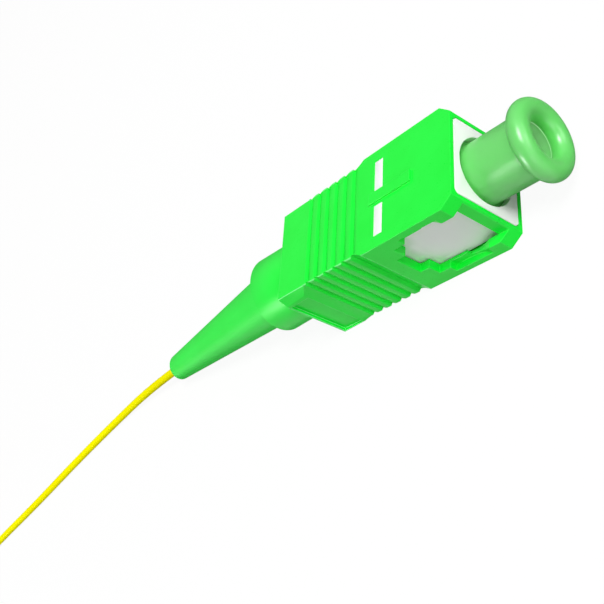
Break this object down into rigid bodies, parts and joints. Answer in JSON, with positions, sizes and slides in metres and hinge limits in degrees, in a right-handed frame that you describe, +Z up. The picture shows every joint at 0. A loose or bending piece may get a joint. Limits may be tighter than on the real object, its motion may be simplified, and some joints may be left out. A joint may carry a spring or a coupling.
{
  "type": "sc fibre connector",
  "caption": "Square push-pull fibre connector with a ridged green housing, white plug frame, ferrule, tapered boot, dust cap and a coiled thin yellow pigtail.",
  "frame": {"origin": "on the table, under the middle of the connector from the boot's mouth to the cap's pull ring; the free fibre and its coil aren't counted", "axes": "+X along the ferrule, out of the housing's front; +Z up, towards the key; Y across the two latch windows"},
  "size_m": [0.1287, 0.0215, 0.0076],
  "materials": {
    "housing_green": "moulded, satin",
    "frame_white": "moulded, smooth",
    "zirconia": "ground ceramic, polished tip",
    "silica": "bare glass fibre",
    "nickel": "turned, nickel plated",
    "spring_steel": "drawn wire",
    "ptfe": "translucent white tube",
    "boot_green": "soft moulded elastomer",
    "cap_green": "soft translucent moulding",
    "buffer_yellow": "extruded, smooth"
  },
  "bodies": {
    "core": {"plug_frame": "frame_white", "stop_body": "nickel", "boot": "boot_green", "guide_tube": "ptfe", "buffered_fibre": "buffer_yellow", "spring": "spring_steel", "cable_lead": "buffer_yellow", "cable_coil": "buffer_yellow"},
    "housing": {"outer_housing": "housing_green"},
    "ferrule_group": {"ferrule": "zirconia", "ferrule_flange": "nickel", "glass_fibre": "silica"},
    "cap": {"dust_cap": "cap_green"}
  },
  "joints": [
    {"name": "housing_slide", "type": "slide", "parent": "core", "child": "housing", "axis": [-1, 0, 0], "range_m": [0, 0.0015]},
    {"name": "ferrule_float", "type": "slide", "parent": "core", "child": "ferrule_group", "axis": [-1, 0, 0], "range_m": [0, 0.0008], "stiffness_N_per_m": 1500, "springref_m": -0.005, "deforming": ["spring"]},
    {"name": "dust_cap_pull", "type": "slide", "parent": "core", "child": "cap", "axis": [1, 0, 0], "range_m": [0, 0.012]}
  ]
}
